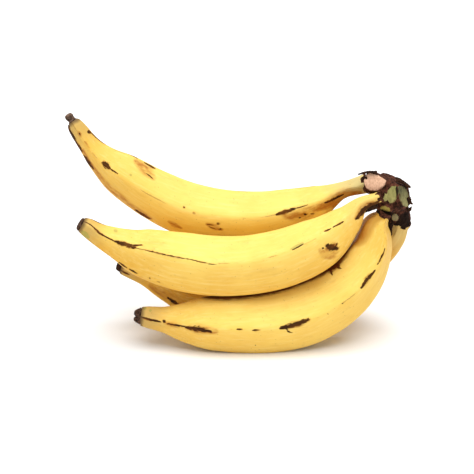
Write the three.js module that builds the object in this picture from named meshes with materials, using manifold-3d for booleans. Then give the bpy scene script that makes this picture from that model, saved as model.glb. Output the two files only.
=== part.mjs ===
// A hand of four ripe plantains, still joined at the crown it was cut from, lying on a table.
// Millimetres, +Z up, X along the fruits with the crown at +X, -Y the side with the front fruit.
// The origin is on the table, under the middle of the hand's bounding box.
import * as THREE from "three";
import { mergeVertices } from "three/addons/utils/BufferGeometryUtils.js";
import Module from "manifold-3d";

const wasm = await Module();
wasm.setup();

// Each fruit is given by its centre line, from the neck at the crown to the flower end.
// A row is x, y, z, half-thickness, and the turn in degrees of the ridge that faces the front.
const TOP_FRUIT = [
  [99, 29, 132.8, 7.4, -6],
  [82.7, 31, 127.2, 7.1, -5],
  [66.7, 34, 118.2, 12.9, -4],
  [45.9, 37, 109.6, 17.6, -4],
  [18, 39.8, 103.5, 20, -6],
  [-11.9, 41.2, 103.2, 21.5, -6],
  [-39.8, 42, 108.7, 22.1, -7],
  [-66, 42.5, 121.2, 20.7, -9],
  [-90.6, 43, 137.2, 18, -10],
  [-106.4, 44, 149.4, 12.7, -13],
  [-116.3, 45, 160.2, 9.2, -13],
  [-124.9, 46, 172.2, 7.4, -11],
  [-128.2, 46.6, 177, 6.3, -10],
  [-129.9, 47, 179.3, 4.8, -10],
];
const MIDDLE_FRUIT = [
  [107.8, 8.2, 127.8, 4.3, 18],
  [96, 7.5, 122.6, 6.6, 16],
  [84.9, 6.5, 109.2, 13.4, 14],
  [64.9, 5.3, 91.4, 21.1, 16],
  [38, 5.3, 79.2, 23.4, 12],
  [11, 6, 73.3, 23.8, 8],
  [-17, 7, 72.2, 24.2, 6],
  [-44.9, 7.2, 75.8, 23.6, 7],
  [-72.9, 7.3, 83, 19.8, 7],
  [-89.6, 7.3, 89.6, 14, 5],
  [-105.8, 7, 97.2, 9.7, 8],
  [-116.5, 6.8, 104, 7.8, 14],
  [-121.6, 6.4, 107.2, 6, 16],
];
const FRONT_FRUIT = [
  [113.4, 11, 112.4, 6, -40],
  [108.9, 11.6, 103.6, 11.6, -36],
  [105.8, 11.5, 85.4, 17.2, -30],
  [95.1, 9, 63.2, 21.5, -18],
  [77.7, 6, 45.9, 23.8, -12],
  [54.8, 3, 33.9, 25.2, -11],
  [29.3, 0.4, 28, 24.6, -9],
  [3, -1.4, 26.8, 23.2, -9],
  [-24, -2.3, 27.8, 20.8, -9],
  [-41, -2.3, 28.4, 15.9, -10],
  [-57, -2.2, 30.3, 10.6, -12],
  [-72, -2, 32.5, 8.4, -12],
  [-76.5, -2, 33, 7.3, -12],
];
const BACK_FRUIT = [
  [131.4, 32, 98, 7.4, 20],
  [126.9, 35, 84.3, 9.7, 20],
  [115, 43.5, 68, 13.8, 20],
  [92.5, 52, 47, 18.5, 18],
  [63, 53.5, 32.6, 20.8, 15],
  [31, 53.2, 26, 21.6, 10],
  [-3, 52, 25.2, 21.4, 5],
  [-36, 51, 30, 18.6, 0],
  [-56.2, 50.5, 37.3, 14, 0],
  [-76.2, 50.5, 47.1, 9.2, 0],
  [-93, 51, 52.6, 6.2, 0],
  [-96.6, 51, 53.9, 4.8, 0],
];

// Where the five ridges stand round each fruit, in degrees from the front ridge towards the top.
const TOP_RIDGES = [0, 70, 150, 215, 285];
const MIDDLE_RIDGES = [0, 66, 140, 212, 288];
const FRONT_RIDGES = [0, 84, 150, 216, 286];
const BACK_RIDGES = [0, 72, 144, 216, 288];

// The dried flower end beyond the last row: steps forward in millimetres and the radius there.
const KNOB_END = [
  [0.6, 3.7],
  [1.3, 3.0],
  [2.6, 2.9],
  [4.2, 3.5],
  [6.2, 3.3],
  [7.4, 1.9],
];
const BLUNT_END = [
  [0.5, 5.4],
  [1.0, 4.8],
  [1.6, 4.2],
  [2.0, 2.8],
];
const THICK_END = [
  [0.8, 6.6],
  [1.6, 5.8],
  [3.0, 5.3],
  [4.6, 4.6],
  [5.6, 2.8],
];
const SHORT_END = [
  [0.8, 4.2],
  [1.6, 3.6],
  [3.0, 3.5],
  [4.2, 2.0],
];

// The peel between two ridges falls back this share of the way to a flat face.
const FLATNESS = 0.72;
const RIDGE_SHARPNESS = 1.2;
// A face lies inside the half-thickness and its ridges outside, so that the two balance.
const RIDGE_PROUD = 1.045;
const FACETS_BETWEEN_RIDGES = 6;
const RINGS_PER_ROW = 4;
// The side that the front ridge faces: forwards, and a little up.
const FACING_LIFT = THREE.MathUtils.degToRad(20);
const FACING = new THREE.Vector3(0, -Math.cos(FACING_LIFT), Math.sin(FACING_LIFT));
// The table presses the two lowest fruits flat where they touch it.
const TABLE = 5.7;

// Catmull-Rom value between b and c, with a and d as their outer neighbours.
function blend(a, b, c, d, t) {
  const slope = (c - a) / 2;
  const nextSlope = (d - b) / 2;
  const cubic = 2 * b - 2 * c + slope + nextSlope;
  const square = 3 * c - 3 * b - 2 * slope - nextSlope;
  return b + t * (slope + t * (square + t * cubic));
}

// All columns of a row list at a place given in rows, such as 2.5 for half way from row 2 to 3.
function along(rows, place) {
  const last = rows.length - 1;
  const i = Math.min(Math.floor(place), last - 1);
  const first = rows[i];
  const second = rows[i + 1];
  return first.map((value, k) => {
    const before = i > 0 ? rows[i - 1][k] : 2 * value - second[k];
    const after = i + 2 <= last ? rows[i + 2][k] : 2 * second[k] - value;
    return blend(before, value, second[k], after, place - i);
  });
}

// The fruit's centre, direction and section axes at a place on its centre line.
function station(rows, place) {
  const step = 0.01;
  const [x, y, z, radius, turn] = along(rows, place);
  const ahead = along(rows, Math.min(place + step, rows.length - 1));
  const behind = along(rows, Math.max(place - step, 0));
  const forward = new THREE.Vector3(...ahead.slice(0, 3));
  forward.sub(new THREE.Vector3(...behind.slice(0, 3))).normalize();
  const front = FACING.clone().addScaledVector(forward, -FACING.dot(forward)).normalize();
  const top = new THREE.Vector3().crossVectors(forward, front).normalize();
  return { centre: new THREE.Vector3(x, y, z), forward, front, top, radius, turn };
}

// Directions round the section and how far out the peel stands there, as a share of the radius.
function sectionRays(ridges) {
  const rays = [];
  ridges.forEach((start, i) => {
    const end = i + 1 < ridges.length ? ridges[i + 1] : ridges[0] + 360;
    const halfGap = THREE.MathUtils.degToRad(end - start) / 2;
    const depth = FLATNESS * (1 - Math.cos(halfGap));
    for (let k = 0; k < FACETS_BETWEEN_RIDGES; k += 1) {
      const share = k / FACETS_BETWEEN_RIDGES;
      const dip = depth * Math.sin(Math.PI * share) ** RIDGE_SHARPNESS;
      rays.push({ angle: start + (end - start) * share, reach: RIDGE_PROUD * (1 - dip) });
    }
  });
  return rays;
}

// One ring of points round a station; round = 1 gives a circle, 0 the full ridged section.
function ringPoints(at, rays, radius, round) {
  return rays.map(({ angle, reach }) => {
    const a = THREE.MathUtils.degToRad(angle + at.turn);
    const r = radius * (round + (1 - round) * reach);
    const point = at.centre.clone();
    point.addScaledVector(at.front, r * Math.cos(a)).addScaledVector(at.top, r * Math.sin(a));
    return point;
  });
}

// A closed skin over rings of equal count, with a flat fan at each end.
function skinOver(rings) {
  const count = rings[0].length;
  const points = rings.flat();
  const faces = [];
  for (let j = 0; j + 1 < rings.length; j += 1) {
    for (let k = 0; k < count; k += 1) {
      const a = j * count + k;
      const b = j * count + ((k + 1) % count);
      faces.push(a, b, a + count, b, b + count, a + count);
    }
  }
  const last = (rings.length - 1) * count;
  const middleOf = (ring) => {
    const middle = new THREE.Vector3();
    ring.forEach((p) => middle.add(p));
    return middle.divideScalar(ring.length);
  };
  points.push(middleOf(rings[0]), middleOf(rings[rings.length - 1]));
  const startCentre = points.length - 2;
  const endCentre = points.length - 1;
  for (let k = 0; k < count; k += 1) {
    const next = (k + 1) % count;
    faces.push(startCentre, next, k, endCentre, last + k, last + next);
  }
  const geometry = new THREE.BufferGeometry();
  geometry.setAttribute("position", new THREE.Float32BufferAttribute(points.flatMap((p) => p.toArray()), 3));
  geometry.setIndex(faces);
  return geometry;
}

// A whole fruit: the ridged body along its rows, then its dried flower end.
function fruitGeometry(rows, ridges, flowerEnd) {
  const rays = sectionRays(ridges);
  const rings = [];
  const steps = (rows.length - 1) * RINGS_PER_ROW;
  for (let j = 0; j <= steps; j += 1) {
    const at = station(rows, j / RINGS_PER_ROW);
    rings.push(ringPoints(at, rays, at.radius, 0));
  }
  const tip = station(rows, rows.length - 1);
  flowerEnd.forEach(([ahead, radius], i) => {
    const at = { ...tip, centre: tip.centre.clone().addScaledVector(tip.forward, ahead) };
    rings.push(ringPoints(at, rays, radius, (i + 1) / flowerEnd.length));
  });
  const geometry = skinOver(rings);
  const position = geometry.getAttribute("position");
  for (let i = 0; i < position.count; i += 1) {
    position.setZ(i, Math.max(position.getZ(i), TABLE));
  }
  return geometry;
}

// A geometry with only positions and shared vertices, as a solid for joining and cutting.
function solidOf(geometry) {
  const bare = geometry.index ? geometry.toNonIndexed() : geometry.clone();
  bare.deleteAttribute("normal");
  bare.deleteAttribute("uv");
  const merged = mergeVertices(bare, 1e-4);
  const mesh = new wasm.Mesh({
    numProp: 3,
    vertProperties: new Float32Array(merged.attributes.position.array),
    triVerts: new Uint32Array(merged.index.array),
  });
  return new wasm.Manifold(mesh);
}

function geometryOf(solid) {
  const mesh = solid.getMesh();
  const geometry = new THREE.BufferGeometry();
  geometry.setAttribute("position", new THREE.BufferAttribute(mesh.vertProperties, 3));
  geometry.setIndex(new THREE.BufferAttribute(mesh.triVerts, 1));
  return geometry;
}

// The crown: lumps of stalk tissue with a stump for each neck and flat knife cuts.
const CROWN_LUMPS = [
  { centre: [122, 23.5, 128], halfSize: [17, 17, 16.5] },
  { centre: [108.2, 15.5, 139.4], halfSize: [9.8, 9.2, 8.6] },
  { centre: [104, 20.5, 133], halfSize: [5, 6.5, 5] },
];
const LUMP_HEIGHT = 0.05;
// The gap that keeps a neck's solid apart from its stump.
const NECK_GAP = 0.35;
const STUMP_SIDES = 18;
// Where each stump starts inside the crown, and how thick it is there.
const TOP_ROOT = { centre: [112, 25, 132], radius: 8 };
const MIDDLE_ROOT = { centre: [118, 18, 126], radius: 8 };
const FRONT_ROOT = { centre: [118, 18, 123], radius: 8.5 };
const BACK_ROOT = { centre: [125, 27, 118], radius: 10 };
// A stump is a little thicker than its neck: steps back from the neck's end and the thickness there.
const STUMP_COLLAR = [
  { behind: NECK_GAP, thicker: 1.02 },
  { behind: NECK_GAP + 1.5, thicker: 1.06 },
  { behind: NECK_GAP + 4, thicker: 1.06 },
];

// A ball swollen and pinched by a few waves round it, stretched to its size.
function crownLump({ centre, halfSize }) {
  const geometry = new THREE.SphereGeometry(1, 26, 16);
  const position = geometry.getAttribute("position");
  const p = new THREE.Vector3();
  for (let i = 0; i < position.count; i += 1) {
    p.fromBufferAttribute(position, i);
    const wide = Math.sin(5 * p.x + 1) * Math.sin(4 * p.y + 2);
    const narrow = Math.sin(6 * p.z + 3 * p.x) / 2;
    p.multiplyScalar(1 + LUMP_HEIGHT * (wide + narrow));
    position.setXYZ(i, p.x, p.y, p.z);
  }
  return geometry.scale(...halfSize).translate(...centre);
}

// A stump that runs from just short of a neck's end, back along the neck and in to its root.
function stump(rows, root) {
  const neck = station(rows, 0);
  const circle = [];
  for (let k = 0; k < STUMP_SIDES; k += 1) {
    circle.push({ angle: (360 * k) / STUMP_SIDES, reach: 1 });
  }
  const rings = STUMP_COLLAR.map(({ behind, thicker }) => {
    const centre = neck.centre.clone().addScaledVector(neck.forward, -behind);
    return ringPoints({ ...neck, centre }, circle, neck.radius * thicker, 1);
  });
  const deepest = { ...neck, centre: new THREE.Vector3(...root.centre) };
  rings.push(ringPoints(deepest, circle, root.radius, 1));
  return skinOver(rings.reverse());
}

// Everything on the far side of a plane, as a big block to cut away.
function beyond(point, normal) {
  const size = 120;
  const geometry = new THREE.BoxGeometry(size, size, size).translate(0, 0, size / 2);
  const facing = new THREE.Vector3(...normal).normalize();
  const turn = new THREE.Quaternion().setFromUnitVectors(new THREE.Vector3(0, 0, 1), facing);
  return geometry.applyQuaternion(turn).translate(...point);
}

// The knife cuts that shape the crown: a point on each and the way it faces.
const CUTS = [
  { point: [107.3, 12.4, 140.9], normal: [-0.3, -0.8, 0.5] },
  { point: [121, 7.5, 130], normal: [0.25, -0.95, 0.1] },
  { point: [129.5, 11.5, 127], normal: [0.8, -0.55, 0.25] },
  { point: [107, 22, 145.9], normal: [0.43, 0, 0.9] },
  { point: [136.5, 22, 120], normal: [1, 0.1, 0.15] },
  { point: [116, 15, 114.6], normal: [0, 0, -1] },
];

// Torn tatters of dry skin along the cuts: root, tip, width at the root and thickness.
const TATTERS = [
  { root: [108, 19, 142], tip: [94, 21.5, 143.5], width: 9, thick: 1.6 },
  { root: [127, 20, 135], tip: [136, 24, 132], width: 9, thick: 1.6 },
  { root: [133, 16, 124], tip: [137.6, 15, 121], width: 7, thick: 1.6 },
  { root: [133, 20, 115], tip: [137.8, 19, 117], width: 8, thick: 1.8 },
];
// A tatter's outline: places along it, as a share of its length, and half its width there.
const TATTER_LEFT = [[0, 0.5], [0.6, 0.22], [1, 0.05]];
const TATTER_RIGHT = [[1, 0.05], [0.5, 0.3], [0, 0.5]];
// How far a tatter's root is sunk into the crown.
const TATTER_SUNK = 4;

// The small round stub of a stalk cut off level, between the front and the back neck.
const STUB = { root: [126, 27, 105.5], tip: [124.5, 17.6, 109], radius: 2.9, rootRadius: 3.3 };

function tatter({ root, tip, width, thick }) {
  const run = new THREE.Vector3(...tip).sub(new THREE.Vector3(...root));
  const length = run.length() + TATTER_SUNK;
  const left = TATTER_LEFT.map(([x, y]) => new THREE.Vector2(x * length - TATTER_SUNK, -y * width));
  const right = TATTER_RIGHT.map(([x, y]) => new THREE.Vector2(x * length - TATTER_SUNK, y * width));
  const outline = new THREE.Shape([...left, ...right]);
  const geometry = new THREE.ExtrudeGeometry(outline, { depth: thick, bevelEnabled: false });
  geometry.translate(0, 0, -thick / 2);
  const forward = run.normalize();
  const side = new THREE.Vector3(0, 1, 0).addScaledVector(forward, -forward.y).normalize();
  const up = new THREE.Vector3().crossVectors(forward, side);
  geometry.applyMatrix4(new THREE.Matrix4().makeBasis(forward, side, up));
  return geometry.translate(...root);
}

function cutStub({ root, tip, radius, rootRadius }) {
  const run = new THREE.Vector3(...tip).sub(new THREE.Vector3(...root));
  const length = run.length();
  const geometry = new THREE.CylinderGeometry(radius, rootRadius, length, STUMP_SIDES);
  geometry.translate(0, length / 2, 0);
  const turn = new THREE.Quaternion().setFromUnitVectors(new THREE.Vector3(0, 1, 0), run.normalize());
  return geometry.applyQuaternion(turn).translate(...root);
}

function crownGeometry() {
  const cushions = CROWN_LUMPS.map((lump) => solidOf(crownLump(lump)));
  let solid = cushions.reduce((whole, lump) => whole.add(lump));
  CUTS.forEach(({ point, normal }) => {
    solid = solid.subtract(solidOf(beyond(point, normal)));
  });
  const stumps = [
    stump(TOP_FRUIT, TOP_ROOT),
    stump(MIDDLE_FRUIT, MIDDLE_ROOT),
    stump(FRONT_FRUIT, FRONT_ROOT),
    stump(BACK_FRUIT, BACK_ROOT),
  ];
  [...stumps, cutStub(STUB), ...TATTERS.map(tatter)].forEach((piece) => {
    solid = solid.add(solidOf(piece));
  });
  return geometryOf(solid);
}

const hand = new THREE.Group();

function addPiece(name, geometry, colour, roughness) {
  const material = new THREE.MeshStandardMaterial({ color: colour, roughness, metalness: 0 });
  geometry.computeVertexNormals();
  const mesh = new THREE.Mesh(geometry, material);
  mesh.name = name;
  hand.add(mesh);
}

addPiece("crown", crownGeometry(), 0x4a3a26, 0.8);
addPiece("plantain_top", fruitGeometry(TOP_FRUIT, TOP_RIDGES, KNOB_END), 0xf2dc50, 0.45);
addPiece("plantain_middle", fruitGeometry(MIDDLE_FRUIT, MIDDLE_RIDGES, BLUNT_END), 0xf5e25a, 0.45);
addPiece("plantain_front", fruitGeometry(FRONT_FRUIT, FRONT_RIDGES, THICK_END), 0xf3de55, 0.45);
addPiece("plantain_back", fruitGeometry(BACK_FRUIT, BACK_RIDGES, SHORT_END), 0xe0bb48, 0.5);

// The hand is moved so that its box is centred over the origin and the pressed spots are at z = 0.
const box = new THREE.Box3().setFromObject(hand);
const middle = box.getCenter(new THREE.Vector3());
hand.position.set(-middle.x, -middle.y, -TABLE);

export default hand;
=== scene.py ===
# %% [markdown]
# # A hand of four ripe plantains
# The imported model is the frame: every piece made here stands where its CAD node stands.

# %% Load the frame
import math
import bmesh
import bpy
import numpy as np
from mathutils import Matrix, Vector


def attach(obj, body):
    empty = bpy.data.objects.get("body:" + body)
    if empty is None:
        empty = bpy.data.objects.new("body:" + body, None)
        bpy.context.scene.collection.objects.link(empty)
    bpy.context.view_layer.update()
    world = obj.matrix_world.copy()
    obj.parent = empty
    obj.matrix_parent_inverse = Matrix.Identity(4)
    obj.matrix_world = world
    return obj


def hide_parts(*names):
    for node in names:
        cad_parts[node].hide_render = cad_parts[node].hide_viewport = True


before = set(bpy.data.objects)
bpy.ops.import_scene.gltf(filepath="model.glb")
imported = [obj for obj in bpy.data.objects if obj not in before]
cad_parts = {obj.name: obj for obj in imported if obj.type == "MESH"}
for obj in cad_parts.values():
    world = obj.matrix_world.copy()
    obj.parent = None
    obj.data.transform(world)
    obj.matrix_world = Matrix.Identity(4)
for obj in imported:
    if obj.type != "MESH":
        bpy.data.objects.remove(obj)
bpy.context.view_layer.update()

bpy.ops.object.select_all(action="DESELECT")

# %% [markdown]
# The hand is seen almost level, from 20 degrees above, with a long lens, so near and far fruits
# differ little in scale. The camera comes first, since everything is judged through it.

# %% Camera
camera_data = bpy.data.cameras.new("camera")
camera_data.lens = 85
camera_data.sensor_width = 36
camera = bpy.data.objects.new("camera", camera_data)
bpy.context.scene.collection.objects.link(camera)
camera.location = (-0.00199, -0.84162, 0.39052)
camera.rotation_euler = (math.radians(70), 0, 0)
bpy.context.scene.camera = camera
print("camera", tuple(camera.location))

# %% [markdown]
# The light of a small photo table: a white room all round and one very wide, soft light from
# above, only a little to the front. It is a sun lamp with a large angle, so the floor stays even
# right to its edge while shadows under the hand fade out softly.

# %% Light
ROOM_STRENGTH = 0.56
LIGHT_STRENGTH = 3.4
LIGHT_WIDTH = math.radians(62)
LIGHT_TURN = (math.radians(9), math.radians(2), 0)

world = bpy.data.worlds.new("white_room")
world.use_nodes = True
room = world.node_tree.nodes["Background"].inputs
room["Color"].default_value = (1, 1, 1, 1)
room["Strength"].default_value = ROOM_STRENGTH
bpy.context.scene.world = world
bpy.context.scene.view_settings.view_transform = "Standard"

wide_light = bpy.data.lights.new("wide_overhead_light", "SUN")
wide_light.energy = LIGHT_STRENGTH
wide_light.angle = LIGHT_WIDTH
overhead = bpy.data.objects.new("wide_overhead_light", wide_light)
overhead.rotation_euler = LIGHT_TURN
bpy.context.scene.collection.objects.link(overhead)
print("lamps", len(bpy.data.lights), "over", math.degrees(wide_light.angle), "degrees of sky")

# %% [markdown]
# The hand lies on a wide sheet of matt white paper. Only the soft shadows tell where the sheet
# is, so it has no gloss. It is staged: it belongs to the picture and not to the part.

# %% Floor
FLOOR_WHITENESS = 0.86

bpy.ops.mesh.primitive_plane_add(size=14, location=(0, 0, 0))
floor = bpy.context.object
floor.name = "floor"
bpy.ops.object.transform_apply(location=True, rotation=True, scale=True)
floor_paper = bpy.data.materials.new("floor_paper")
floor_paper.use_nodes = True
paper = floor_paper.node_tree.nodes["Principled BSDF"]
paper.inputs["Base Color"].default_value = (*[FLOOR_WHITENESS] * 3, 1)
paper.inputs["Roughness"].default_value = 0.9
paper.inputs["Specular IOR Level"].default_value = 0.0
floor.data.materials.append(floor_paper)
print("floor", tuple(floor.dimensions))

# %% [markdown]
# Each fruit follows a bent centre line. A row gives a place on that line in millimetres, from
# neck to flower end, with half the thickness there and how far the ridges have turned. The rows
# are those of the CAD source, so skin and solid stay together.

# %% Rows of the four fruits
MOVE = Vector((-1.99, -25.28, -5.70))
FRUITS = {
    "top": [
        (99, 29, 132.8, 7.4, -6), (82.7, 31, 127.2, 7.1, -5), (66.7, 34, 118.2, 12.9, -4),
        (45.9, 37, 109.6, 17.6, -4), (18, 39.8, 103.5, 20, -6), (-11.9, 41.2, 103.2, 21.5, -6),
        (-39.8, 42, 108.7, 22.1, -7), (-66, 42.5, 121.2, 20.7, -9), (-90.6, 43, 137.2, 18, -10),
        (-106.4, 44, 149.4, 12.7, -13), (-116.3, 45, 160.2, 9.2, -13),
        (-124.9, 46, 172.2, 7.4, -11), (-128.2, 46.6, 177, 6.3, -10),
        (-129.9, 47, 179.3, 4.8, -10),
    ],
    "middle": [
        (107.8, 8.2, 127.8, 4.3, 18), (96, 7.5, 122.6, 6.6, 16), (84.9, 6.5, 109.2, 13.4, 14),
        (64.9, 5.3, 91.4, 21.1, 16), (38, 5.3, 79.2, 23.4, 12), (11, 6, 73.3, 23.8, 8),
        (-17, 7, 72.2, 24.2, 6), (-44.9, 7.2, 75.8, 23.6, 7), (-72.9, 7.3, 83, 19.8, 7),
        (-89.6, 7.3, 89.6, 14, 5), (-105.8, 7, 97.2, 9.7, 8), (-116.5, 6.8, 104, 7.8, 14),
        (-121.6, 6.4, 107.2, 6, 16),
    ],
    "front": [
        (113.4, 11, 112.4, 6, -40), (108.9, 11.6, 103.6, 11.6, -36),
        (105.8, 11.5, 85.4, 17.2, -30), (95.1, 9, 63.2, 21.5, -18), (77.7, 6, 45.9, 23.8, -12),
        (54.8, 3, 33.9, 25.2, -11), (29.3, 0.4, 28, 24.6, -9), (3, -1.4, 26.8, 23.2, -9),
        (-24, -2.3, 27.8, 20.8, -9), (-41, -2.3, 28.4, 15.9, -10), (-57, -2.2, 30.3, 10.6, -12),
        (-72, -2, 32.5, 8.4, -12), (-76.5, -2, 33, 7.3, -12),
    ],
    "back": [
        (131.4, 32, 98, 7.4, 20), (126.9, 35, 84.3, 9.7, 20), (115, 43.5, 68, 13.8, 20),
        (92.5, 52, 47, 18.5, 18), (63, 53.5, 32.6, 20.8, 15), (31, 53.2, 26, 21.6, 10),
        (-3, 52, 25.2, 21.4, 5), (-36, 51, 30, 18.6, 0), (-56.2, 50.5, 37.3, 14, 0),
        (-76.2, 50.5, 47.1, 9.2, 0), (-93, 51, 52.6, 6.2, 0), (-96.6, 51, 53.9, 4.8, 0),
    ],
}
RIDGES = {
    "top": [0, 70, 150, 215, 285],
    "middle": [0, 66, 140, 212, 288],
    "front": [0, 84, 150, 216, 286],
    "back": [0, 72, 144, 216, 288],
}
print("rows", {name: len(rows) for name, rows in FRUITS.items()})

# %% [markdown]
# A fruit's line has no kinks, so a smooth curve is run through its rows. At each small step the
# table keeps which way is forward, which way faces the camera and which way is up, because the
# turn of the ridges is given from the side that faces the camera.

# %% Centre lines
CAMERA_RISE = math.radians(20)
FACING = np.array([0, -math.cos(CAMERA_RISE), math.sin(CAMERA_RISE)])
STEPS_PER_ROW = 60


def on_line(rows, place):
    """Row values at a place between rows, on a smooth curve through all of them."""
    last = len(rows) - 1
    first = min(int(place), last - 1)
    share = place - first
    start, end = rows[first], rows[first + 1]
    before = rows[first - 1] if first > 0 else 2 * start - end
    after = rows[first + 2] if first + 2 <= last else 2 * end - start
    leave, arrive = (end - before) / 2, (after - start) / 2
    square = 3 * end - 3 * start - 2 * leave - arrive
    cube = 2 * start - 2 * end + leave + arrive
    return start + share * (leave + share * (square + share * cube))


def centre_line(name):
    """Table along a fruit: millimetres from the neck, middle, half-thickness, turn, three axes."""
    rows = np.array(FRUITS[name], float)
    rows[:, :3] += np.array(MOVE)
    table = []
    run = 0.0
    for place in np.linspace(0, len(rows) - 1, STEPS_PER_ROW * (len(rows) - 1) + 1):
        values = on_line(rows, place)
        ahead = on_line(rows, min(place + 0.01, len(rows) - 1))
        behind = on_line(rows, max(place - 0.01, 0))
        forward = (ahead - behind)[:3]
        forward /= np.linalg.norm(forward)
        front = FACING - FACING @ forward * forward
        front /= np.linalg.norm(front)
        if table:
            run += np.linalg.norm(values[:3] - table[-1][1:4])
        table.append([run, *values, *forward, *front, *np.cross(forward, front)])
    return np.array(table)


LINES = {name: centre_line(name) for name in FRUITS}
for name, table in LINES.items():
    print(name, "is", round(table[-1, 0], 1), "mm along its centre line")

# %% [markdown]
# A plantain is longer and more angular than a dessert banana: five ridges run along it with
# flatter faces between. The section is one ring of corners, farthest out on the ridges.

# %% Cross-section
FLATNESS = 0.72
RIDGE_SHARPNESS = 1.2
RIDGE_PROUD = 1.045
CORNERS_PER_FACE = 10


def ridged_section(ridges):
    """Angle and reach of each corner, round from the ridge that faces the camera."""
    corners = []
    for start, end in zip(ridges, ridges[1:] + [360 + ridges[0]]):
        fall = FLATNESS * (1 - math.cos(math.radians(end - start) / 2))
        for step in range(CORNERS_PER_FACE):
            share = step / CORNERS_PER_FACE
            dip = fall * math.sin(math.pi * share) ** RIDGE_SHARPNESS
            corners.append((math.radians(start + share * (end - start)), RIDGE_PROUD * (1 - dip)))
    return corners


print("section corners", len(ridged_section(RIDGES["top"])))

# %% [markdown]
# The body could be carved, but one ring of corners, pulled out to the ridges and then extruded
# and scaled along the fruit, gives ridges that run true from neck to tip.

# %% Straight body


def pick(body):
    """Selects one object and nothing else."""
    bpy.ops.object.select_all(action="DESELECT")
    body.select_set(True)
    bpy.context.view_layer.objects.active = body


def select_only(mesh, chosen):
    """In edit mode, selects these corners and nothing else."""
    for part in [*mesh.faces, *mesh.edges]:
        part.select = False
    for corner in mesh.verts:
        corner.select = corner in chosen
    mesh.select_flush(True)


def turn_of(corner):
    """How far round the X axis a corner stands, from 0 to a full turn."""
    turn = math.atan2(corner.co.z, corner.co.y) % math.tau
    return round(turn, 4) % round(math.tau, 4)


def straight_loft(name, corners, rings):
    """A closed straight body along X: a ring of corners, extruded and scaled from ring to ring."""
    bpy.ops.object.select_all(action="DESELECT")
    start, radius = rings[0]
    bpy.ops.mesh.primitive_circle_add(
        vertices=len(corners), radius=radius, fill_type="NGON", rotation=(0, math.pi / 2, 0)
    )
    body = bpy.context.object
    body.name = name
    bpy.ops.object.transform_apply(location=True, rotation=True, scale=True)
    bpy.ops.object.mode_set(mode="EDIT")
    mesh = bmesh.from_edit_mesh(body.data)
    order = sorted(mesh.verts, key=turn_of)
    places = [(corner.index, corner.co.copy()) for corner in order]
    for (index, old), (angle, reach) in zip(places, corners):
        mesh = bmesh.from_edit_mesh(body.data)
        mesh.verts.ensure_lookup_table()
        select_only(mesh, {mesh.verts[index]})
        new = Vector((start, radius * reach * math.cos(angle), radius * reach * math.sin(angle)))
        bpy.ops.transform.translate(value=new - old)
    bpy.ops.mesh.select_all(action="SELECT")
    for (x0, r0), (x1, r1) in zip(rings, rings[1:]):
        bpy.ops.mesh.extrude_region_move(TRANSFORM_OT_translate={"value": (x1 - x0, 0, 0)})
        bpy.ops.transform.resize(value=(1, r1 / r0, r1 / r0), center_override=(x1, 0, 0))
    bpy.ops.mesh.select_all(action="SELECT")
    bpy.ops.mesh.normals_make_consistent(inside=False)
    bpy.ops.object.mode_set(mode="OBJECT")
    return body


print("loft ready")

# %% [markdown]
# Every surface is rounded and then pushed in and out a little by noise, as grown skin is never
# quite even. What a material must know about a place is stored on the mesh, vertex by vertex.

# %% Surface and stored values


def smooth_over(body, levels):
    """Rounds a body with an applied Subdivision Surface and shades it smooth."""
    pick(body)
    finer = body.modifiers.new("finer", "SUBSURF")
    finer.levels = levels
    finer.render_levels = levels
    bpy.ops.object.modifier_apply(modifier="finer")
    bpy.ops.object.shade_smooth()


def roughen(body, size, height, detail):
    """Pushes the surface in and out by clouds of one size, both in the mesh's own units."""
    pick(body)
    clouds = bpy.data.textures.new("clouds", "CLOUDS")
    clouds.noise_scale = size
    clouds.noise_depth = detail
    push = body.modifiers.new("push", "DISPLACE")
    push.texture = clouds
    push.texture_coords = "LOCAL"
    push.strength = height
    push.mid_level = 0.5
    bpy.ops.object.modifier_apply(modifier="push")


def places_of(body):
    """All vertex places of a mesh as rows of numbers."""
    flat = np.zeros(len(body.data.vertices) * 3)
    body.data.vertices.foreach_get("co", flat)
    return flat.reshape(-1, 3)


def set_places(body, places):
    """Moves all vertices to these places."""
    body.data.vertices.foreach_set("co", np.ascontiguousarray(places, float).ravel())
    body.data.update()


def keep_value(body, name, values, kind="FLOAT"):
    """Stores one number or vector for each vertex under a name that materials can read."""
    store = body.data.attributes.new(name, kind, "POINT")
    field = "vector" if kind == "FLOAT_VECTOR" else "value"
    store.data.foreach_set(field, np.ascontiguousarray(values, np.float32).ravel())


print("surface tools ready")

# %% [markdown]
# A straight body is made in millimetres along X and then carried onto its fruit's centre line,
# corner by corner. Whatever would reach under the ground is laid flat on it, as on a resting fruit.

# %% Bending


def along_line(name, run):
    """Values of a fruit's table at these distances; past either end the line runs on straight."""
    table = LINES[name]
    inside = np.clip(run, 0, table[-1, 0])
    values = np.stack([np.interp(inside, table[:, 0], column) for column in table.T], -1)
    for first in (6, 9, 12):
        values[:, first:first + 3] /= np.linalg.norm(values[:, first:first + 3], axis=1)[:, None]
    values[:, 1:4] += (run - inside)[:, None] * values[:, 6:9]
    return values


def bend_onto_line(body, name):
    """Carries a straight body onto its fruit's bent centre line and from millimetres to metres."""
    straight = places_of(body)
    line = along_line(name, straight[:, 0])
    turn = np.radians(line[:, 5])[:, None]
    across, up = straight[:, 1:2], straight[:, 2:3]
    to_front = across * np.cos(turn) - up * np.sin(turn)
    to_top = across * np.sin(turn) + up * np.cos(turn)
    bent = line[:, 1:4] + to_front * line[:, 9:12] + to_top * line[:, 12:15]
    bent[:, 2] = np.maximum(bent[:, 2], 0)
    set_places(body, bent / 1000)


print("values on a line", along_line("top", np.zeros(1)).shape[1])
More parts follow.
